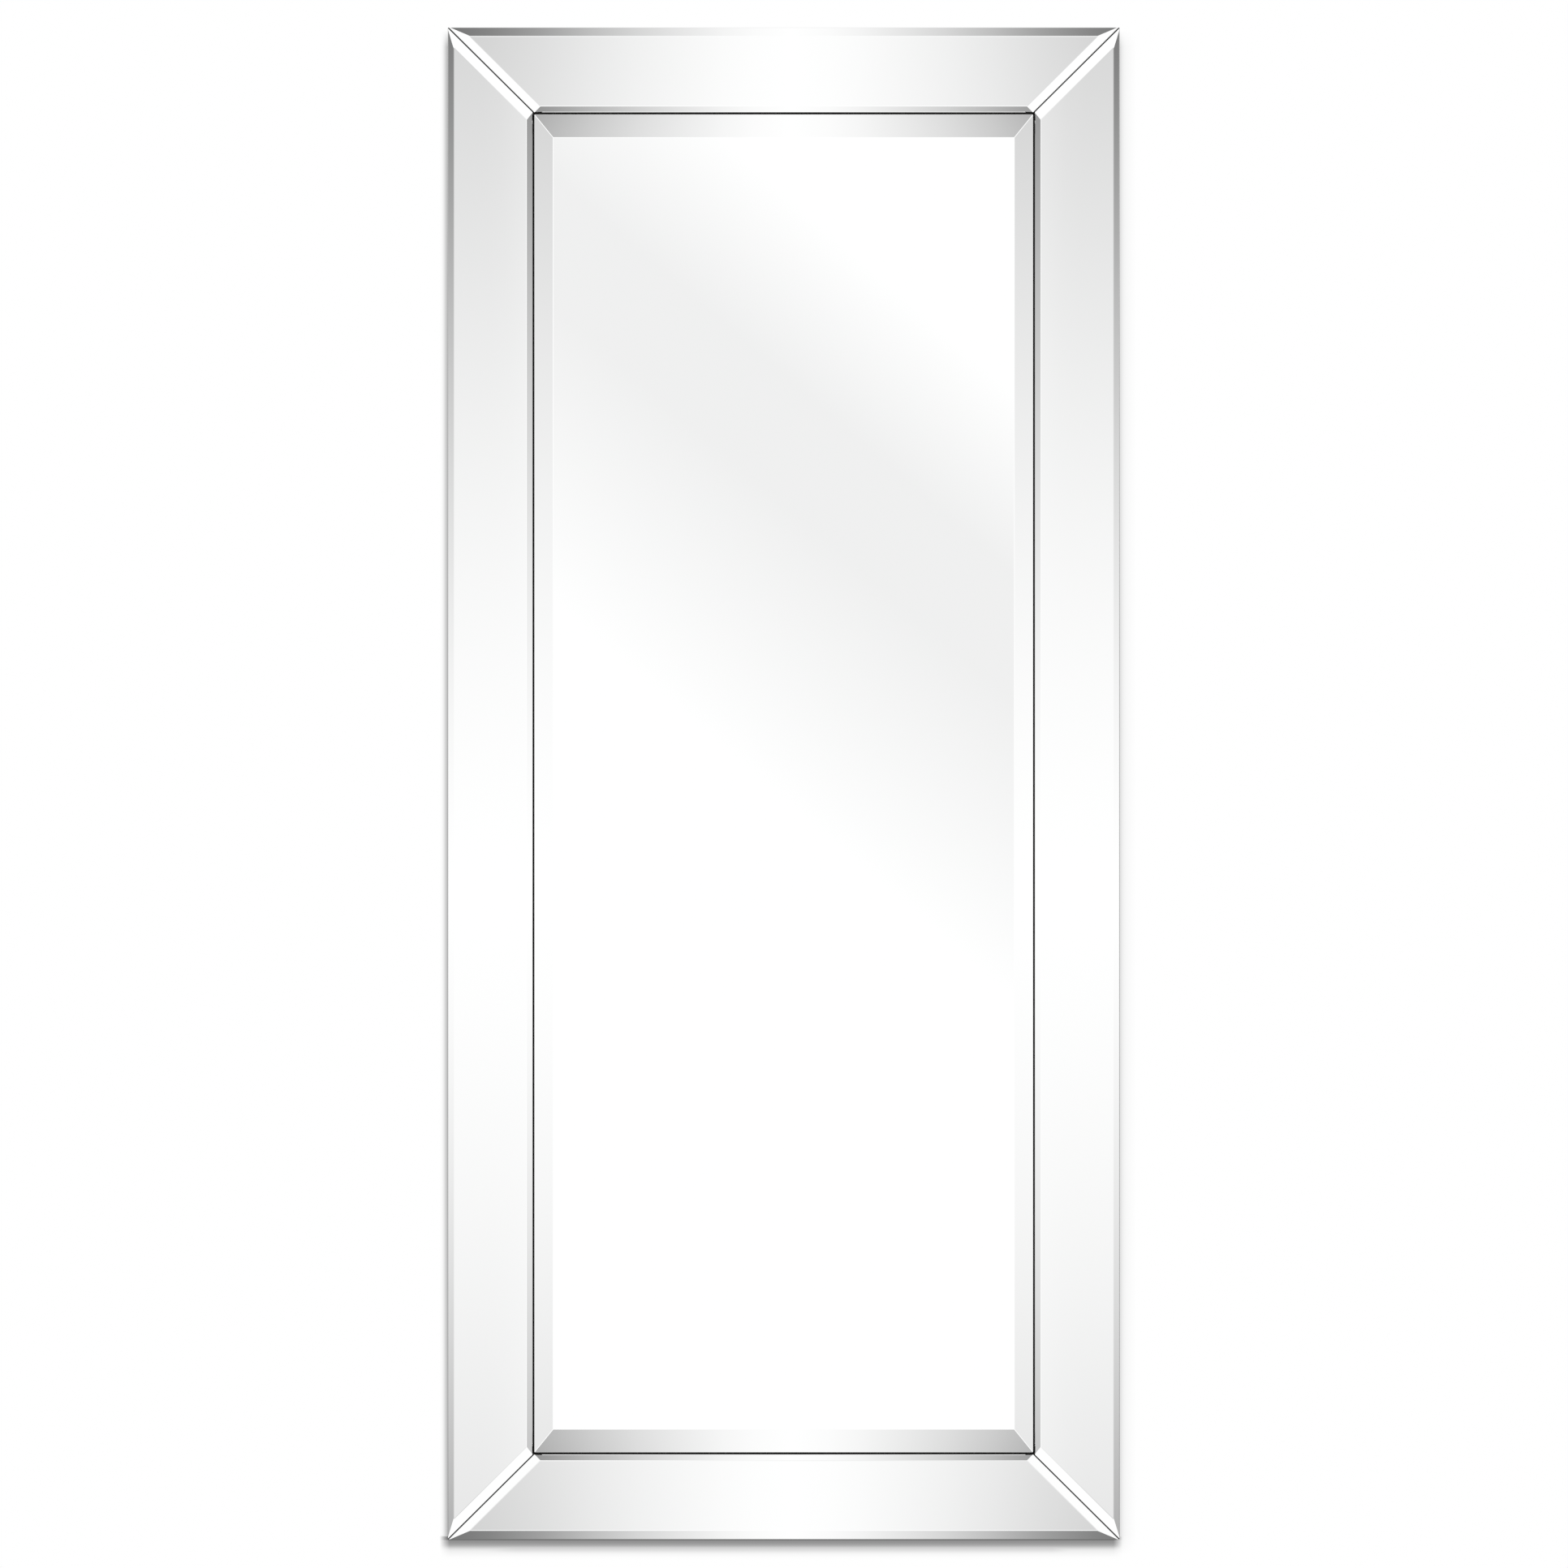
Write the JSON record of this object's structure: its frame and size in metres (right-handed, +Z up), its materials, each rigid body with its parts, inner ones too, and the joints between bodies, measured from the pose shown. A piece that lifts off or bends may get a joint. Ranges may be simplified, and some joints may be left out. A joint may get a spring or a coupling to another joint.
{
  "type": "wall mirror",
  "caption": "Tall rectangular wall mirror with a bevelled centre mirror in a border of mitred, bevelled mirror strips on a wooden frame, with swinging D-ring hangers.",
  "frame": {"origin": "on the wall, behind the middle of the mirror", "axes": "+Z up, -Y towards the viewer, +Y into the wall, +X to the viewer's right"},
  "size_m": [0.6096, 0.0316, 1.3716],
  "materials": {
    "mirror_glass": "polished",
    "frame_wood": "sanded, bare",
    "hardboard": "pressed, matte",
    "foam": "matte foam",
    "plated_steel": "zinc plated",
    "ring_steel": "zinc plated",
    "screw_steel": "zinc plated",
    "bumper_rubber": "matte"
  },
  "bodies": {
    "mirror": {"centre_mirror": "mirror_glass", "mirror_strip_top": "mirror_glass", "mirror_strip_bottom": "mirror_glass", "mirror_strip_left": "mirror_glass", "mirror_strip_right": "mirror_glass", "rail_top": "frame_wood", "rail_bottom": "frame_wood", "rail_left": "frame_wood", "rail_right": "frame_wood", "strip_tapes": "foam", "centre_tapes": "foam", "foam_blocks": "foam", "backing_board": "hardboard", "mitre_nails": "plated_steel", "backing_screws": "screw_steel", "hanger_screws": "screw_steel", "wall_bumpers": "bumper_rubber", "hanger_strap_left": "plated_steel", "hanger_strap_right": "plated_steel", "hanger_strap_upper": "plated_steel", "hanger_strap_lower": "plated_steel"},
    "ring_left": {"hanger_ring_left": "ring_steel"},
    "ring_right": {"hanger_ring_right": "ring_steel"},
    "ring_upper": {"hanger_ring_upper": "ring_steel"},
    "ring_lower": {"hanger_ring_lower": "ring_steel"}
  },
  "joints": [
    {"name": "ring_left_swing", "type": "hinge", "parent": "mirror", "child": "ring_left", "pos_m": [-0.2688, -0.00332, 0.455], "axis": [-1, 0, 0], "range_deg": [0, 178]},
    {"name": "ring_right_swing", "type": "hinge", "parent": "mirror", "child": "ring_right", "pos_m": [0.2688, -0.00332, 0.455], "axis": [-1, 0, 0], "range_deg": [0, 178]},
    {"name": "ring_upper_swing", "type": "hinge", "parent": "mirror", "child": "ring_upper", "pos_m": [-0.2778, -0.00332, 0.36], "axis": [0, 0, -1], "range_deg": [0, 178]},
    {"name": "ring_lower_swing", "type": "hinge", "parent": "mirror", "child": "ring_lower", "pos_m": [-0.2778, -0.00332, -0.36], "axis": [0, 0, -1], "range_deg": [0, 178]}
  ]
}
